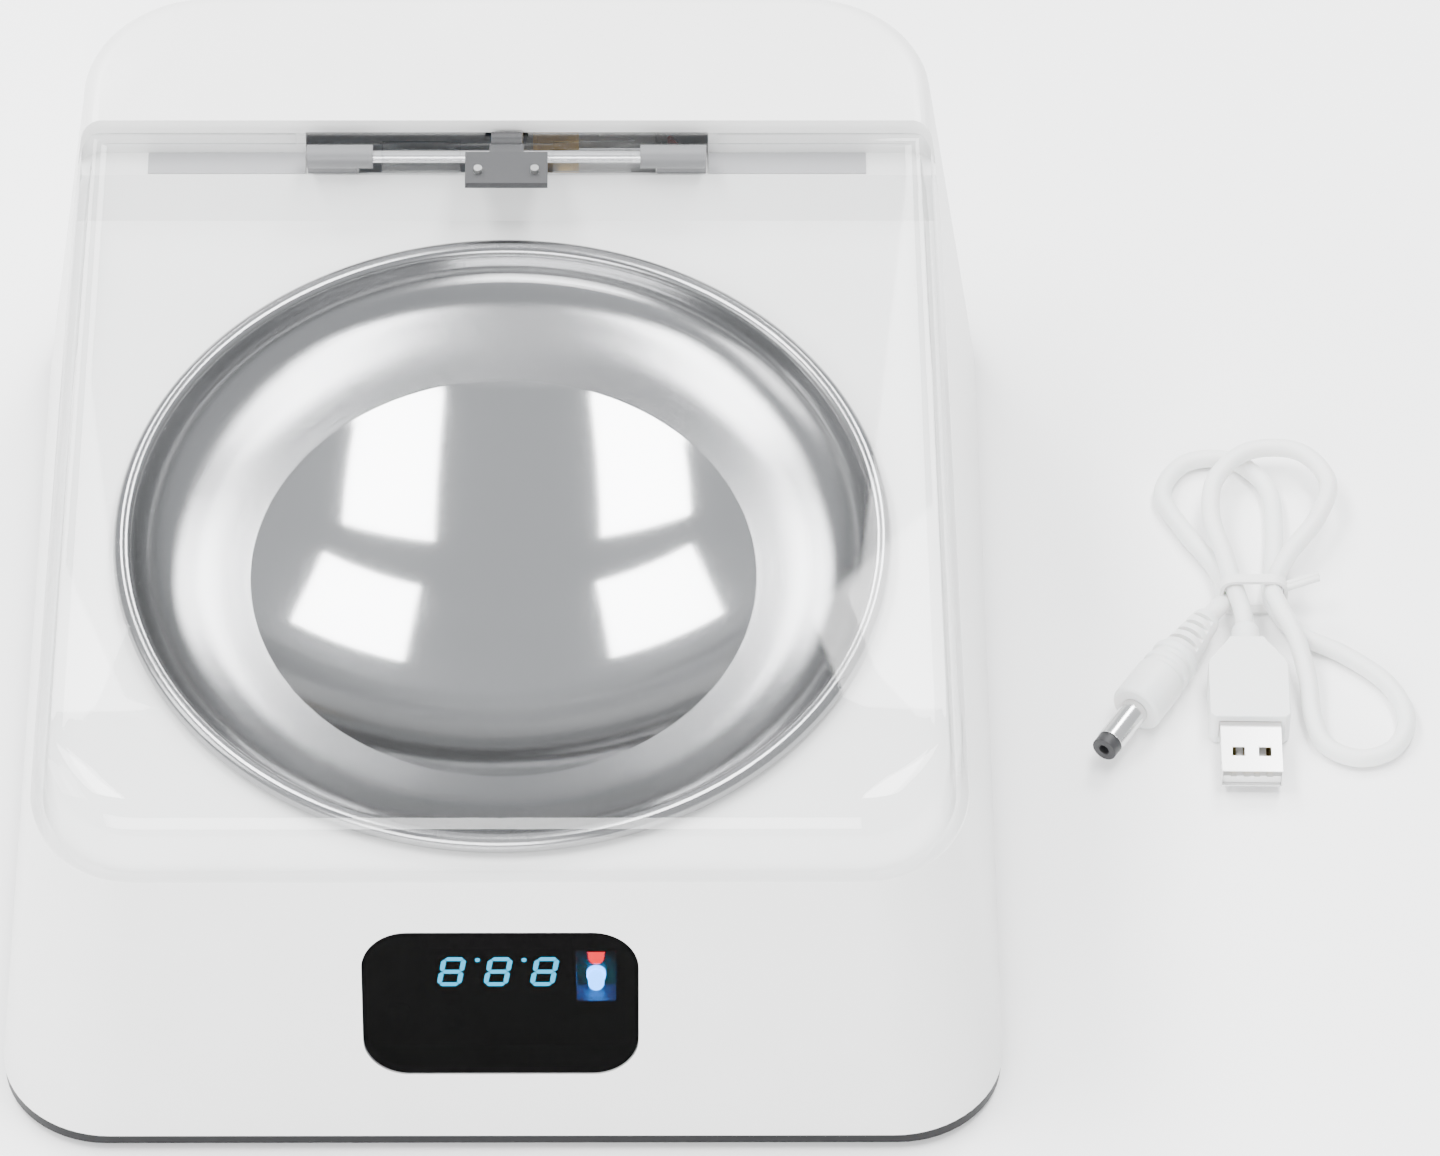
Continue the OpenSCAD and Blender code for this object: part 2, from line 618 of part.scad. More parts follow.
// Routes of the inner wires, chosen by hand
wire_a = [[2.3, 78, 15], [6, 78, 16.5], [11, 77, 20], [15.4, 75.6, 18.6], [17, 75, 14.8]];
wire_b = [[31.6, 74.1, 82.3], [36, 74, 74], [37, 74, 60], [34, 76, 36], [23, 84, 24], [17, 87, 14.8]];
wire_c = [[-14, -101, 30], [-15, -95, 26], [-20, -80, 16], [-20, -40, 8], [-10, 10, 7], [6, 50, 9],
    [10, 68, 18], [14.6, 76.6, 19], [17, 79, 14.8]];
wire_d = [[52, 93, 14], [53, 90, 17], [56, 84, 18.5], [57, 77, 14.8]];
module wire_loom() {
    color("#B22B2B") {
        tube(smooth(wire_a, 3), 1.6, 8);
        tube(smooth(wire_b, 3), 1.6, 8);
        tube(smooth(wire_c, 3), 1.6, 8);
        tube(smooth(wire_d, 3), 1.6, 8);
    }
}

// ---- Bowl ----------------------------------------------------------------
rim_r = bowl_d / 2 - rim_d / 2;
ring_z = -13.2;
dish_r = (pow(polish_d / 2, 2) + pow(bowl_depth + ring_z, 2)) / (2 * (bowl_depth + ring_z));
function dish_z(x) = -bowl_depth + dish_r - sqrt(dish_r * dish_r - x * x);
// Inner face of the bowl, from the rim to the centre, measured from the rim's top
inner_pts = concat([[rim_r - 2, -2], [69.0, -3.6], [68.0, -5.4], [66.2, -7.2], [63.4, -8.9], [59.6, -10.4],
    [55.2, -11.8]], [for (i = [0 : 8]) [polish_d / 2 * (1 - i / 8), dish_z(polish_d / 2 * (1 - i / 8))]]);
module bowl() {
    color("#C9CCCF") tilted() translate([0, -bowl_front, -deck_drop + rim_d + 0.05]) {
        rotate_extrude($fn = 128) polygon(concat(inner_pts, [for (i = [len(inner_pts) - 1 : -1 : 0])
            [max(inner_pts[i][0] - (i < 4 ? -0.3 : i == len(inner_pts) - 1 ? 0 : -0.2),
                0), inner_pts[i][1] - (i < 2 ? 0 : bowl_t)]]));
        // rolled rim, with the narrow open seam of the curl
        rotate_extrude($fn = 128) translate([rim_r, -rim_d / 2]) difference() {
            circle(d = rim_d, $fn = 32);
            circle(d = rim_d - 1.4, $fn = 32);
            rotate(-140) translate([0, -0.35]) square([rim_d, 0.7]);
        }
    }
}

// ---- Lid -----------------------------------------------------------------
lip_r = hinge_drop;
lid_rear = hinge_y + lip_r;
lid_corner = 9;
module at_hinge(w) {
    tilted() translate([-w / 2, hinge_y, -hinge_drop]) rotate([0, 90, 0]) children();
}
// Takes the rear corners off, leaving radius r at a distance g inside
module rear_corners(g) {
    tilted() for (s = [-1, 1]) translate([s * (hw(60, -2.3) + 0.2 - lid_corner), lid_rear - lid_corner, -9])
        difference() {
            translate([s > 0 ? 0 : -30, 0, 0]) cube([30, 30, 20]);
            translate([0, 0, -1]) cylinder(h = 22, r = lid_corner - g);
        }
}
// The outer form of the lid: rounded at the rear about the hinge axis
module lid_outer() {
    difference() {
        intersection() {
            form(0, shell_z);
            tilted() across([[-160, -deck_drop + lid_gap], [hump_y - 0.9, -deck_drop + lid_gap],
                [trough_y - 0.9, -trough_drop + lid_gap], [trough_y - 0.9, -hinge_drop],
                [lid_rear, -hinge_drop], [lid_rear, 4], [-160, 4]], 240);
        }
        difference() {
            tilted() translate([-120, hinge_y, -hinge_drop - 1]) cube([240, 12, 12]);
            at_hinge(242) cylinder(h = 242, r = lip_r);
        }
        rear_corners(0);
    }
}
module lid_inner() {
    difference() {
        translate([0, 0, -0.02]) form(lid_t, 30);
        difference() {
            tilted() translate([-120, hinge_y, -hinge_drop - 12]) cube([240, 80, 30]);
            at_hinge(240) cylinder(h = 240, r = lip_r - lid_t);
            tilted() translate([-120, hinge_y - 1, -hinge_drop - 12]) cube([240, 1 + lip_r - lid_t, 12]);
        }
        rear_corners(lid_t);
    }
}
module knuckle(x, w) {
    tilted() difference() {
        union() {
            translate([x, hinge_y, -hinge_drop]) rotate([0, 90, 0]) cylinder(h = w, r = 3);
            translate([x, hinge_y - 3, -hinge_drop]) cube([w, 5.2, 2.7]);
        }
        translate([x - 1, hinge_y, -hinge_drop]) rotate([0, 90, 0]) cylinder(h = w + 2, d = pin_d + 0.1);
        translate([x + 3, hinge_y + 1.7, -hinge_drop - 0.9]) cube([w - 6, 3, 1.8]);
    }
}
module lid() {
    color("#DDE6EA", 0.35) {
        difference() {
            lid_outer();
            lid_inner();
            // the lip stays short between the brackets, and clears the gear
            at_hinge(82) linear_extrude(height = 82)
                polygon([[0, 0], polar(9, 125), polar(9, 90), polar(9, 50), polar(9, 0)]);
            tilted() translate([-4.2, hinge_y + 1.5, -hinge_drop - 2]) cube([8.4, 10, 9]);
            // blind holes for the screws of the gear's foot
            tilted() for (x = [-5.5, 5.5]) translate([x, hinge_y - 6, -lid_t - 1]) cylinder(h = 2.1, d = 1.7);
        }
        knuckle(-24.2, 15.2);
        knuckle(9, 15.2);
    }
}

// ---- Charging lead -------------------------------------------------------
lead_at = [148, 24];
module lead_frame() { translate([lead_at[0], lead_at[1], 0]) children(); }
// Route of the cord from the barrel plug to the other plug, chosen by hand
route = [[-9.5, -7, 5.3], [-7.3, -3.6, 4.7], [-5.2, 0.8, 3.3], [-6.9, 9.6, 2.2], [-12.6, 20, 2], [-16.6, 30.4, 2],
    [-11.6, 39.2, 2], [-2, 39.8, 2], [4.6, 32, 2], [5.4, 21, 2], [4.6, 10, 2.2], [3.9, 0, 2.9],
    [8.6, -8, 2.1], [17.6, -13.8, 2], [25.6, -21.6, 2], [28.8, -31, 2], [25.7, -38.8, 2], [18.9, -41.4, 2],
    [12.6, -38, 2], [10.3, -30.6, 2.4], [9.7, -21.8, 3.8], [7.6, -12.6, 6.4], [4.8, -5.6, 7.5], [3.9, 0.4, 6.8],
    [7.6, 10, 6.1], [13.6, 19.6, 6], [16.6, 30, 6], [11.2, 38.6, 6], [1, 38.8, 6], [-6, 31, 6],
    [-7.4, 20.6, 6], [-5.4, 10, 6.2], [-3.9, 0.4, 6.8], [-2.5, -4.4, 5.4], [-2, -9, 4.2]];
cord_rings = 1.6;
module lead_cord() {
    color("#F2F2F0") lead_frame() tube(concat([for (i = [0 : len(route) - 2]) for (j = [0, 0.5])
        if (j == 0 || norm(route[i + 1] - route[i]) > 8.6)
            cr(route[max(i - 1, 0)], route[i], route[i + 1], route[min(i + 2, len(route) - 1)], j)],
        [route[len(route) - 1]]), cord_d, 8);
}
// Frame of the barrel plug: X runs from the cord's end to the tip
module at_barrel() {
    lead_frame() translate([-9.5, -7, 5.3]) rotate(180 + 58) children();
}
module lathe(pts) { rotate([0, 90, 0]) rotate_extrude() polygon(pts); }
module plug_relief() {
    color("#F2F2F0") at_barrel() difference() {
        lathe([[0, 0], [2.6, 0], [2.9, 1], [4.1, 12], [0, 12]]);
        for (i = [0 : 3]) translate([1.8 + i * 2.6, -5, 1.9]) cube([1.1, 10, 4]);
        for (i = [0 : 3]) translate([3.1 + i * 2.6, -5, -5.9]) cube([1.1, 10, 4]);
    }
}
module plug_grip() {
    color("#F2F2F0") at_barrel() difference() {
        lathe([[0, 12], [4.4, 12], [4.9, 12.6], [4.9, 14], [4.4, 14.4], [4.4, 15.4], [5, 15.8], [5.1, 17.2],
            [4.6, 17.6], [4.6, 18.6], [5.2, 19], [5.25, 28.4], [4.7, 29], [0, 29]]);
        translate([24, 0, 0]) rotate([0, 90, 0]) cylinder(h = 8, d = barrel_d - 0.5);
    }
}
module plug_barrel() {
    color("#C4C7CA") at_barrel() translate([24, 0, 0]) rotate([0, 90, 0]) difference() {
        union() {
            cylinder(h = 15, d = barrel_d - 0.5);
            translate([0, 0, 5]) cylinder(h = 10, d = barrel_d);
        }
        translate([0, 0, 2]) cylinder(h = 20, d = 4.4);
    }
}
module plug_insulator() {
    color("#1B1B1D") at_barrel() translate([27, 0, 0]) rotate([0, 90, 0]) difference() {
        union() {
            cylinder(h = 12, d = 4.4);
            translate([0, 0, 12]) cylinder(h = 2.4, d = 5.1);
        }
        translate([0, 0, 4]) cylinder(h = 12, d = 2.1);
    }
}
// Frame of the other plug: X runs from the cord's end to the mouth
module at_usb() {
    lead_frame() translate([-2, -9, 4.2]) rotate(-91) children();
}
module usb_grip() {
    color("#F2F2F0") at_usb() difference() {
        union() {
            lathe([[0, 0], [2.7, 0], [3.1, 5.4], [0, 5.4]]);
            translate([5.2, 0, -3.9]) linear_extrude(height = 7.8)
                polygon([[0, -3.4], [1, -3.9], [6, -7.4], [7.4, -7.9], [20.6, -7.9], [21.6, -6.9],
                    [21.6, 6.9], [20.6, 7.9], [7.4, 7.9], [6, 7.4], [1, 3.9], [0, 3.4]]);
        }
        translate([22.8, -6, -2.25]) cube([10, 12, 4.5]);
    }
}
module usb_shell() {
    color("#C4C7CA") at_usb() difference() {
        translate([22.8, -6, -2.25]) cube([17, 12, 4.5]);
        translate([24, -5.7, -1.95]) cube([17, 11.4, 3.9]);
        for (y = [-2.6, 2.6]) translate([33.4, y - 1.15, -5]) cube([2.3, 2.3, 10]);
    }
}
module usb_tongue() {
    color("#F4F4F4") at_usb() difference() {
        translate([24, -5.7, -1.95]) cube([15, 11.4, 1.95]);
        for (y = [-3.5, -1, 1, 3.5]) translate([25, y - 0.6, -0.25]) cube([14.4, 1.2, 1]);
    }
}
module usb_contacts() {
    color("#D8B45A") at_usb() for (y = [-3.5, -1, 1, 3.5])
        translate([25.4, y - 0.5, -0.25]) cube([12.4, 1, 0.3]);
}
module cord_tie() {
    color("#F4F4F2") lead_frame() difference() {
        union() {
            hull() for (x = [-3.9, 3.9]) for (z = [2.9, 6.8])
                translate([x, 1.1, z]) rotate([90, 0, 0]) cylinder(h = 2.2, r = 2.85, $fn = 24);
            // twisted ends
            for (y = [-0.55, 0.55]) translate([6.3, y, 7.2]) rotate([0, 78, 12]) cylinder(h = 7, d = 1.3);
        }
        hull() for (x = [-3.9, 3.9]) for (z = [2.9, 6.8])
            translate([x, 3, z]) rotate([90, 0, 0]) cylinder(h = 6, r = 2.15, $fn = 24);
    }
}

upper_shell();
base_plate();
rubber_feet();
base_screws();
hinge_strip();
hinge_brackets();
hinge_screws();
hinge_pin();
motor_bracket();
bracket_screws();
gearbox();
motor_can();
window_lens();
display_block();
display_segments();
led_shroud();
led_blue();
led_red();
ir_emitter();
ir_receiver();
sensor_board();
control_board();
board_parts();
board_screws();
battery_cell();
battery_cradle();
dc_jack();
jack_contact();
wire_loom();
bowl();
lid();
lid_gear();
gear_screws();
motor_shaft();
pinion();
plug_barrel();
plug_insulator();
plug_grip();
plug_relief();
lead_cord();
usb_grip();
usb_shell();
usb_tongue();
usb_contacts();
cord_tie();
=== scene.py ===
"""Automatic pet feeder bowl, seen from the front and above.

A white wedge-shaped housing with a clear hinged lid over a steel bowl, a dark
sensor window with a lit display, and a tied white charging lead beside it.
"""
import json
import math

import bmesh
import bpy
from mathutils import Matrix, Vector


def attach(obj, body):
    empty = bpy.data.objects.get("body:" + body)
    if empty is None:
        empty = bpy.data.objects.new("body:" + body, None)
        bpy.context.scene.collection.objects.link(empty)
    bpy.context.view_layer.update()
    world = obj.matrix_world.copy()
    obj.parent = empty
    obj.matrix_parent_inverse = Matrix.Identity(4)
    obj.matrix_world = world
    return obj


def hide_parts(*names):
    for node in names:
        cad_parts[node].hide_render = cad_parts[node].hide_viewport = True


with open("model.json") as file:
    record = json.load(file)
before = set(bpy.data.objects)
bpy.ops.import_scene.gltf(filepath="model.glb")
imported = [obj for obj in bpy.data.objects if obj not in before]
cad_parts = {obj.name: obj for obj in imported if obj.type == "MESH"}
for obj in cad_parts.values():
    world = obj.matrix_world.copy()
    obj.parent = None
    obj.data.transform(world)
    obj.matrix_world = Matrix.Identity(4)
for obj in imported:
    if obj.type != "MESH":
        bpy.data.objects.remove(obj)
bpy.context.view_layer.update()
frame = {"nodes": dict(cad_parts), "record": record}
NODES = frame["nodes"]
MM = 0.001

# Sizes that part.scad gives too, in millimetres
LID_H, TILT = 89.5, math.radians(5)
DECK_DROP = 15.5
BOWL_D, BOWL_FRONT, BOWL_DEPTH, BOWL_T = 147, 27.2, 24, 0.8
RIM_D, POLISH_D, RING_Z = 4, 96, -13.2
LEAD_AT = (148, 24)
CORD_D = 3.7

# The tilted frame of the lid and bowl, and the bowl's place in it
TILTED = Matrix.Translation((0, 0, LID_H * MM)) @ Matrix.Rotation(TILT, 4, "X")
BOWL_AT = TILTED @ Matrix.Translation((0, -BOWL_FRONT * MM, (-DECK_DROP + RIM_D + 0.05) * MM))


# ---- Camera ----------------------------------------------------------------
def make_camera():
    data = bpy.data.cameras.new("camera")
    data.sensor_width = 36
    data.lens = 204.49
    data.clip_start, data.clip_end = 0.05, 20
    cam = bpy.data.objects.new("camera", data)
    bpy.context.scene.collection.objects.link(cam)
    turn = (Matrix.Rotation(math.radians(-0.83), 4, "Z")
            @ Matrix.Rotation(math.radians(43.37), 4, "X")
            @ Matrix.Rotation(math.radians(0.57), 4, "Z"))
    cam.matrix_world = Matrix.Translation((0.02561, -1.09149, 1.19068)) @ turn
    bpy.context.scene.camera = cam


make_camera()


# ---- Materials -------------------------------------------------------------
def new_material(name, color, rough, metal=0.0, **sockets):
    m = bpy.data.materials.new(name)
    m.use_nodes = True
    shader = m.node_tree.nodes["Principled BSDF"]
    shader.inputs["Base Color"].default_value = (*color, 1)
    shader.inputs["Roughness"].default_value = rough
    shader.inputs["Metallic"].default_value = metal
    for key, value in sockets.items():
        shader.inputs[key.replace("_", " ")].default_value = value
    return m


def node(m, kind, **values):
    n = m.node_tree.nodes.new(kind)
    for key, value in values.items():
        if key in n.inputs:
            n.inputs[key].default_value = value
        else:
            setattr(n, key, value)
    return n


def join(m, a, out, b, inp):
    m.node_tree.links.new(a.outputs[out], b.inputs[inp])


def grained(m, scale, bump, depth, rough=None, tint=None, stretch=(1, 1, 1)):
    """Fine moulded grain: noise that drives bump, roughness and a faint colour change."""
    shader = m.node_tree.nodes["Principled BSDF"]
    place = node(m, "ShaderNodeTexCoord")
    size = node(m, "ShaderNodeMapping")
    size.inputs["Scale"].default_value = stretch
    join(m, place, "Object", size, "Vector")
    noise = node(m, "ShaderNodeTexNoise", Scale=scale, Detail=4.0, Roughness=0.6)
    join(m, size, "Vector", noise, "Vector")
    if bump:
        b = node(m, "ShaderNodeBump", Strength=bump, Distance=depth)
        join(m, noise, "Fac", b, "Height")
        join(m, b, "Normal", shader, "Normal")
    wide = node(m, "ShaderNodeTexNoise", Scale=scale / 40, Detail=3.0)
    join(m, size, "Vector", wide, "Vector")
    if rough:
        r = node(m, "ShaderNodeMapRange")
        r.inputs["To Min"].default_value, r.inputs["To Max"].default_value = rough
        join(m, wide, "Fac", r, "Value")
        join(m, r, "Result", shader, "Roughness")
    if tint:
        ramp = node(m, "ShaderNodeValToRGB")
        ramp.color_ramp.elements[0].color = (*tint[0], 1)
        ramp.color_ramp.elements[1].color = (*tint[1], 1)
        ramp.color_ramp.elements[0].position = 0.3
        ramp.color_ramp.elements[1].position = 0.7
        join(m, wide, "Fac", ramp, "Fac")
        join(m, ramp, "Color", shader, "Base Color")
    return m


def brushed(m, scale, bump):
    """Circular brushing about the object's own Z axis."""
    shader = m.node_tree.nodes["Principled BSDF"]
    place = node(m, "ShaderNodeTexCoord")
    split = node(m, "ShaderNodeSeparateXYZ")
    join(m, place, "Object", split, "Vector")
    flat = node(m, "ShaderNodeCombineXYZ")
    join(m, split, "X", flat, "X")
    join(m, split, "Y", flat, "Y")
    radius = node(m, "ShaderNodeVectorMath", operation="LENGTH")
    join(m, flat, "Vector", radius, 0)
    lines = node(m, "ShaderNodeTexNoise", noise_dimensions="1D", Scale=scale, Detail=5.0, Roughness=0.7)
    join(m, radius, "Value", lines, "W")
    b = node(m, "ShaderNodeBump", Strength=bump, Distance=0.00004)
    join(m, lines, "Fac", b, "Height")
    join(m, b, "Normal", shader, "Normal")
    r = node(m, "ShaderNodeMapRange")
    base = shader.inputs["Roughness"].default_value
    r.inputs["To Min"].default_value, r.inputs["To Max"].default_value = base * 0.75, base * 1.25
    join(m, lines, "Fac", r, "Value")
    join(m, r, "Result", shader, "Roughness")
    return m


def clear_plastic(name, color, rough, gloss=1.0, edge=0.12):
    """A thin clear wall: mostly see-through, glossier and greyer when seen edge-on."""
    m = bpy.data.materials.new(name)
    m.use_nodes = True
    tree = m.node_tree
    for n in list(tree.nodes):
        if n.type != "OUTPUT_MATERIAL":
            tree.nodes.remove(n)
    out = [n for n in tree.nodes if n.type == "OUTPUT_MATERIAL"][0]
    see = node(m, "ShaderNodeBsdfTransparent")
    facing = node(m, "ShaderNodeLayerWeight", Blend=0.5)
    ramp = node(m, "ShaderNodeValToRGB")
    ramp.color_ramp.elements[0].color = (*color, 1)
    ramp.color_ramp.elements[1].color = (*[c * (1 - edge) for c in color], 1)
    ramp.color_ramp.elements[0].position = 0.5
    join(m, facing, "Facing", ramp, "Fac")
    join(m, ramp, "Color", see, "Color")
    shine = node(m, "ShaderNodeBsdfGlossy", Roughness=rough)
    shine.inputs["Color"].default_value = (1, 1, 1, 1)
    steep = node(m, "ShaderNodeMath", operation="POWER")
    steep.inputs[1].default_value = 4
    join(m, facing, "Facing", steep, 0)
    amount = node(m, "ShaderNodeMapRange")
    amount.inputs["To Min"].default_value = 0.035 * gloss
    amount.inputs["To Max"].default_value = 0.75 * gloss
    join(m, steep, "Value", amount, "Value")
    mix = node(m, "ShaderNodeMixShader")
    join(m, amount, "Result", mix, "Fac")
    join(m, see, "BSDF", mix, 1)
    join(m, shine, "BSDF", mix, 2)
    join(m, mix, "Shader", out, "Surface")
    return m


def glowing(name, color, strength):
    m = new_material(name, color, 0.35)
    shader = m.node_tree.nodes["Principled BSDF"]
    shader.inputs["Emission Color"].default_value = (*color, 1)
    shader.inputs["Emission Strength"].default_value = strength
    return m


WHITE = grained(new_material("white_abs", (0.80, 0.80, 0.79), 0.32, Specular_IOR_Level=0.5),
                1800, 0.06, 0.00002, rough=(0.28, 0.36), tint=((0.79, 0.79, 0.78), (0.81, 0.81, 0.805)))
BLACK = grained(new_material("black_abs", (0.004, 0.004, 0.005), 0.5, Specular_IOR_Level=0.25), 2200, 0.25,
                0.00005, rough=(0.4, 0.52))
RUBBER = grained(new_material("rubber", (0.02, 0.02, 0.02), 0.8), 1500, 0.3, 0.00008, rough=(0.7, 0.9))
# Mid grey for the strip across the hinge recess, darker than the white shell
GREY = grained(new_material("grey_abs", (0.36, 0.36, 0.37), 0.5), 1500, 0.1, 0.00003, rough=(0.45, 0.55))
SCREW = grained(new_material("screw_steel", (0.55, 0.55, 0.54), 0.3, 1.0), 2500, 0.15, 0.00003,
                rough=(0.22, 0.38))
PIN = grained(new_material("pin_steel", (0.66, 0.66, 0.67), 0.22, 1.0), 2500, 0.1, 0.00002,
              rough=(0.16, 0.28), stretch=(0.1, 1, 1))
SATIN = brushed(new_material("bowl_satin", (0.30, 0.30, 0.305), 0.17, 1.0, Anisotropic=0.8), 4200, 0.22)
MIRROR = brushed(new_material("bowl_mirror", (0.46, 0.46, 0.465), 0.07, 1.0), 900, 0.02)
CLEAR = clear_plastic("clear_pc", (0.985, 0.987, 0.988), 0.03, gloss=0.9, edge=0.7)
LENS = clear_plastic("lens_black", (0.07, 0.06, 0.07), 0.03, gloss=0.09)
SEGMENT = glowing("digit_glow", (0.03, 0.62, 0.78), 480)
LED_BLUE = glowing("led_blue", (0.05, 0.42, 1.0), 1500)
LED_RED = glowing("led_red", (1.0, 0.02, 0.03), 420)
SHROUD = grained(new_material("shroud", (0.10, 0.10, 0.12), 0.3), 2000, 0.1, 0.00003, rough=(0.25, 0.4))
IR_CLEAR = grained(new_material("ir_clear", (0.42, 0.45, 0.62), 0.15), 900, 0.02, 0.00002, rough=(0.1, 0.2))
IR_DARK = grained(new_material("ir_dark", (0.015, 0.012, 0.02), 0.15), 900, 0.02, 0.00002, rough=(0.1, 0.2))
BOARD = grained(new_material("board_green", (0.012, 0.09, 0.03), 0.35), 1200, 0.15, 0.00003,
                rough=(0.28, 0.45), tint=((0.010, 0.075, 0.026), (0.015, 0.11, 0.036)))
CHIP = grained(new_material("chip_black", (0.02, 0.02, 0.022), 0.5), 3000, 0.2, 0.00003, rough=(0.4, 0.6))
CELL = grained(new_material("cell_wrap", (0.03, 0.12, 0.38), 0.3), 700, 0.08, 0.00004, rough=(0.22, 0.4))
WIRE = grained(new_material("wire_red", (0.38, 0.02, 0.02), 0.45), 1500, 0.08, 0.00003, rough=(0.38, 0.52))
ACETAL = grained(new_material("gear_pom", (0.72, 0.70, 0.62), 0.4, Subsurface_Weight=0.05),
                 1500, 0.08, 0.00003,
                 rough=(0.34, 0.48))
SMOKE = grained(new_material("bracket_grey", (0.15, 0.15, 0.155), 0.5), 1600, 0.1, 0.00003,
                rough=(0.34, 0.46))
DRIVE_GREY = grained(new_material("gear_grey", (0.03, 0.03, 0.032), 0.5), 1500, 0.1, 0.00003,
                     rough=(0.34, 0.48))
BRASS = grained(new_material("gear_brass", (0.62, 0.44, 0.17), 0.3, 1.0), 2000, 0.12, 0.00003,
                rough=(0.22, 0.4))
CAN = grained(new_material("motor_steel", (0.5, 0.5, 0.51), 0.28, 1.0), 2200, 0.12, 0.00003,
              rough=(0.2, 0.36), stretch=(0.15, 1, 1))
NICKEL = grained(new_material("plug_nickel", (0.66, 0.66, 0.66), 0.2, 1.0), 2600, 0.08, 0.00002,
                 rough=(0.14, 0.28))
VINYL = grained(new_material("cord_pvc", (0.80, 0.80, 0.79), 0.42, Subsurface_Weight=0.06),
                1600, 0.12, 0.00004,
                rough=(0.36, 0.5), tint=((0.78, 0.78, 0.77), (0.82, 0.82, 0.81)))
GOLD = grained(new_material("contact_gold", (0.75, 0.54, 0.2), 0.25, 1.0), 2600, 0.1, 0.00002,
               rough=(0.18, 0.34))
TIE = grained(new_material("tie_white", (0.76, 0.76, 0.75), 0.4), 1600, 0.12, 0.00004, rough=(0.34, 0.5))


# ---- Building helpers --------------------------------------------------------
def link(name, mesh, body, material, at=None):
    obj = bpy.data.objects.new(name, mesh)
    bpy.context.scene.collection.objects.link(obj)
    if at is not None:
        obj.matrix_world = at
    mesh.materials.clear()
    mesh.materials.append(material)
    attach(obj, body)
    return obj


def smooth_by_angle(mesh, degrees):
    """Smooth shading that keeps edges sharper than this angle crisp."""
    bm = bmesh.new()
    bm.from_mesh(mesh)
    limit = math.radians(degrees)
    for face in bm.faces:
        face.smooth = True
    for edge in bm.edges:
        edge.smooth = len(edge.link_faces) == 2 and edge.calc_face_angle(0) < limit
    bm.to_mesh(mesh)
    bm.free()


def soften(obj, width, segments=2, angle=34):
    bevel = obj.modifiers.new("edges", "BEVEL")
    bevel.width = width * MM
    bevel.segments = segments
    bevel.limit_method = "ANGLE"
    bevel.angle_limit = math.radians(angle)
    bevel.harden_normals = True
    bevel.use_clamp_overlap = True


BODY_OF = {n: b for b, ns in frame["record"]["behaviour"]["bodies"].items() for n in ns}


def refined(name, material, bevel=0.3, segments=2, angle=34, merge_flat=True):
    """A copy of a CAD node: welded, smooth-shaded, and with small edge radii where bevel is above 0."""
    source = NODES[name]
    mesh = source.data.copy()
    for layer in [a.name for a in mesh.attributes if a.name == "custom_normal"]:
        mesh.attributes.remove(mesh.attributes[layer])
    bm = bmesh.new()
    bm.from_mesh(mesh)
    bmesh.ops.remove_doubles(bm, verts=bm.verts, dist=2e-6)
    if merge_flat:
        bmesh.ops.dissolve_limit(bm, angle_limit=math.radians(0.3), verts=bm.verts, edges=bm.edges)
    bm.to_mesh(mesh)
    bm.free()
    smooth_by_angle(mesh, angle)
    obj = link(name + "_fine", mesh, BODY_OF[name], material)
    if bevel:
        soften(obj, bevel, segments, angle)
    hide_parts(name)
    return obj


def grid_mesh(name, rows, loop=False):
    """A mesh from rows of points; loop joins each row's ends."""
    mesh = bpy.data.meshes.new(name)
    width = len(rows[0])
    points = [p for row in rows for p in row]
    faces = []
    for i in range(len(rows) - 1):
        a, b = i * width, (i + 1) * width
        for j in range(width if loop else width - 1):
            k = (j + 1) % width
            faces.append((a + j, a + k, b + k, b + j))
    mesh.from_pydata([tuple(p) for p in points], [], faces)
    mesh.update()
    return mesh


def lathe_mesh(name, profile, segments=160):
    """Turns a profile of (radius, z) in millimetres about Z."""
    rows = []
    for r, z in profile:
        rows.append([(max(r, 0.001) * MM * math.cos(a), max(r, 0.001) * MM * math.sin(a), z * MM)
                     for a in (2 * math.pi * k / segments for k in range(segments))])
    mesh = grid_mesh(name, rows, loop=True)
    bm = bmesh.new()
    bm.from_mesh(mesh)
    bmesh.ops.remove_doubles(bm, verts=bm.verts, dist=3e-6)
    bmesh.ops.recalc_face_normals(bm, faces=bm.faces)
    bm.to_mesh(mesh)
    bm.free()
    return mesh


def catmull(points, steps):
    """A smooth line through the points, with steps pieces to each span."""
    out = []
    last = len(points) - 1
    for i in range(last):
        p0, p1 = Vector(points[max(i - 1, 0)]), Vector(points[i])
        p2, p3 = Vector(points[i + 1]), Vector(points[min(i + 2, last)])
        for s in range(steps):
            t = s / steps
            out.append(0.5 * (2 * p1 + (p2 - p0) * t + (2 * p0 - 5 * p1 + 4 * p2 - p3) * t * t
                              + (3 * p1 - p0 - 3 * p2 + p3) * t * t * t))
    out.append(Vector(points[last]))
    return out


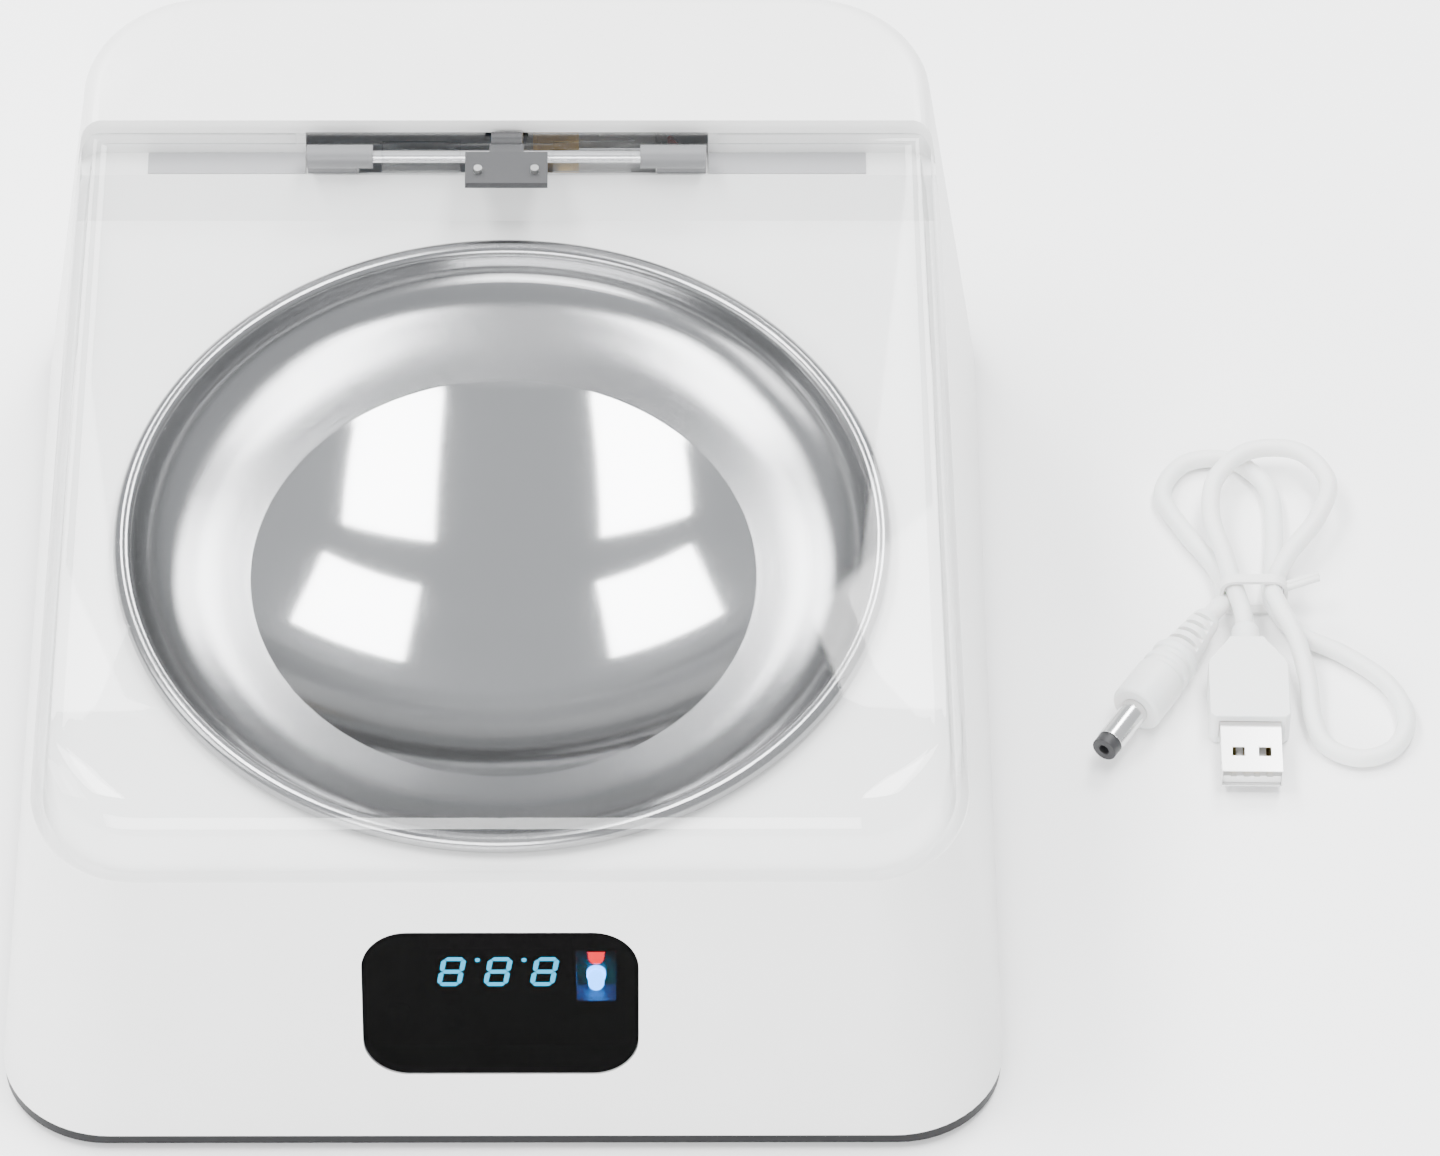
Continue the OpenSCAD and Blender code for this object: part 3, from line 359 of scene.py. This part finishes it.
# ---- Charging lead -----------------------------------------------------------
ROUTE = [
    (-9.5, -7, 5.3), (-7.3, -3.6, 4.7), (-5.2, 0.8, 3.3), (-6.9, 9.6, 2.2), (-12.6, 20, 2), (-16.6, 30.4, 2),
    (-11.6, 39.2, 2), (-2, 39.8, 2), (4.6, 32, 2), (5.4, 21, 2), (4.6, 10, 2.2), (3.9, 0, 2.9),
    (8.6, -8, 2.1), (17.6, -13.8, 2), (25.6, -21.6, 2), (28.8, -31, 2), (25.7, -38.8, 2), (18.9, -41.4, 2),
    (12.6, -38, 2), (10.3, -30.6, 2.4), (9.7, -21.8, 3.8), (7.6, -12.6, 6.4),
    (4.8, -5.6, 7.5), (3.9, 0.4, 6.8),
    (7.6, 10, 6.1), (13.6, 19.6, 6), (16.6, 30, 6), (11.2, 38.6, 6), (1, 38.8, 6), (-6, 31, 6),
    (-7.4, 20.6, 6), (-5.4, 10, 6.2), (-3.9, 0.4, 6.8), (-2.5, -4.4, 5.4), (-2, -9, 4.2)]


def make_lead():
    data = bpy.data.curves.new("lead_cord_line", "CURVE")
    data.dimensions = "3D"
    data.bevel_depth = CORD_D / 2 * MM
    data.bevel_resolution = 6
    data.use_fill_caps = True
    line = catmull([((x + LEAD_AT[0]) * MM, (y + LEAD_AT[1]) * MM, z * MM) for x, y, z in ROUTE], 6)
    spline = data.splines.new("POLY")
    spline.points.add(len(line) - 1)
    for p, q in zip(spline.points, line):
        p.co = (*q, 1)
    for s in data.splines:
        s.use_smooth = True
    cord = bpy.data.objects.new("lead_cord_fine", data)
    bpy.context.scene.collection.objects.link(cord)
    data.materials.append(VINYL)
    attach(cord, "lead")
    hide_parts("lead_cord")
    parts = [refined("plug_relief", VINYL, 0.25), refined("plug_grip", VINYL, 0.3),
             refined("plug_barrel", NICKEL, 0.15), refined("plug_insulator", CHIP, 0.15),
             refined("usb_grip", VINYL, 0.9, 3), refined("usb_shell", NICKEL, 0.12),
             refined("usb_tongue", WHITE, 0.1), refined("usb_contacts", GOLD, 0.05),
             refined("cord_tie", TIE, 0.3)]


make_lead()


# ---- Bowl --------------------------------------------------------------------
def make_bowl():
    rim_r = BOWL_D / 2 - RIM_D / 2
    drop = BOWL_DEPTH + RING_Z
    dish_r = ((POLISH_D / 2) ** 2 + drop ** 2) / (2 * drop)
    wall = [(rim_r - 1.9, -1.6, 0), (69.25, -2.6, 0), (68.8, -3.9, 0), (67.9, -5.5, 0), (66.2, -7.15, 0),
            (63.4, -8.85, 0), (59.6, -10.35, 0), (55.2, -11.75, 0), (POLISH_D / 2, RING_Z, 0)]
    inner = [(p[0], p[1]) for p in catmull(wall, 5)]
    dish = [(POLISH_D / 2 * (1 - i / 40),
             -BOWL_DEPTH + dish_r - math.sqrt(dish_r ** 2 - (POLISH_D / 2 * (1 - i / 40)) ** 2))
            for i in range(41)]
    under = [(max(r - 0.2, 0), z - BOWL_T + 0.04) for r, z in reversed(inner[8:] + dish[1:])]
    curl = [(rim_r + (RIM_D / 2 - 0.02) * math.cos(a), -RIM_D / 2 + (RIM_D / 2 - 0.02) * math.sin(a))
            for a in (math.radians(d) for d in range(175, -136, -10))]
    satin = lathe_mesh("bowl_wall", list(reversed(curl)) + inner)
    smooth_by_angle(satin, 50)
    wall_piece = link("bowl_wall_fine", satin, "bowl", SATIN, BOWL_AT)
    polished = lathe_mesh("bowl_dish", dish)
    smooth_by_angle(polished, 50)
    link("bowl_dish_fine", polished, "bowl", MIRROR, BOWL_AT)
    outside = lathe_mesh("bowl_under", under + [(69.0, -3.6), (69.45, -2.4)])
    smooth_by_angle(outside, 50)
    link("bowl_under_fine", outside, "bowl", SATIN, BOWL_AT)
    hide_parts("bowl")


make_bowl()

# ---- Housing, lid and works ----------------------------------------------------
refined("upper_shell", WHITE, 0, angle=30, merge_flat=False)
refined("base_plate", BLACK, 0.4)
refined("rubber_feet", RUBBER, 0.5)
refined("base_screws", SCREW, 0.15)
refined("hinge_strip", GREY, 0.05)
refined("hinge_brackets", SMOKE, 0.25)
refined("hinge_screws", SCREW, 0.12)
refined("hinge_pin", PIN, 0.2)
refined("motor_bracket", WHITE, 0.3)
refined("bracket_screws", SCREW, 0.12)
refined("gearbox", BRASS, 0.12)
refined("motor_can", CAN, 0.25)
refined("lid", CLEAR, 0, angle=30, merge_flat=False)
refined("lid_gear", DRIVE_GREY, 0.08)
refined("gear_screws", SCREW, 0.12)
refined("motor_shaft", PIN, 0.15)
refined("pinion", ACETAL, 0.08)
refined("window_lens", LENS, 0.25, 3)
refined("display_block", CHIP, 0.1)
refined("display_segments", SEGMENT, 0)
refined("led_shroud", SHROUD, 0.12)
refined("led_blue", LED_BLUE, 0.05)
refined("led_red", LED_RED, 0.05)
refined("ir_emitter", IR_CLEAR, 0.05)
refined("ir_receiver", IR_DARK, 0.05)
refined("sensor_board", BOARD, 0.1)
refined("control_board", BOARD, 0.1)
refined("board_parts", CHIP, 0.2)
refined("board_screws", SCREW, 0.12)
refined("battery_cell", CELL, 0.5, 3)
refined("battery_cradle", BLACK, 0.4)
refined("dc_jack", BLACK, 0.2)
refined("jack_contact", NICKEL, 0.15)
refined("wire_loom", WIRE, 0)


# ---- Floor and light -----------------------------------------------------------
def make_floor():
    rows = [[(x, y, 0) for x in (-4, -1, 0, 1, 4)] for y in (-4, -1, 0, 1, 4)]
    floor = bpy.data.objects.new("floor", grid_mesh("floor", rows))
    bpy.context.scene.collection.objects.link(floor)
    floor.data.materials.append(new_material("floor", (0.97, 0.97, 0.97), 0.6))


def softbox(name, at, to, size, power, color=(1, 1, 1)):
    """A rectangular light whose width stays level."""
    data = bpy.data.lights.new(name, "AREA")
    data.shape = "RECTANGLE"
    data.size, data.size_y = size
    data.energy = power
    data.color = color
    back = (Vector(at) - Vector(to)).normalized()
    side = (Vector((1, 0, 0)) - back * back.x).normalized()
    up = back.cross(side)
    obj = bpy.data.objects.new(name, data)
    obj.matrix_world = Matrix((side, up, back)).transposed().to_4x4()
    obj.location = at
    bpy.context.scene.collection.objects.link(obj)


def overhead(name, forward, across, size, power, away=1.3):
    """A softbox over the bowl, tipped forward and across by these angles."""
    f, a = math.radians(forward), math.radians(across)
    over = Vector((0, -0.03, 0.08))
    way = Vector((math.sin(a), -math.sin(f) * math.cos(a), math.cos(f) * math.cos(a)))
    softbox(name, over + way * away, over, size, power)


make_floor()
overhead("top_right", -4, 18, (0.34, 0.72), 20)
overhead("top_left", -4, -24, (0.34, 0.72), 21)
overhead("rear_right", -40, 19, (0.34, 0.44), 12)
overhead("rear_left", -40, -22, (0.34, 0.44), 12)
softbox("front", (-0.35, -1.5, 0.75), (0, 0, 0.05), (1.3, 0.7), 37)
softbox("left", (-1.3, -0.2, 0.8), (0, 0, 0.05), (0.7, 0.7), 12)
world = bpy.data.worlds.new("world")
bpy.context.scene.world = world
world.use_nodes = True
world.node_tree.nodes["Background"].inputs["Color"].default_value = (0.86, 0.88, 0.9, 1)
world.node_tree.nodes["Background"].inputs["Strength"].default_value = 1.25
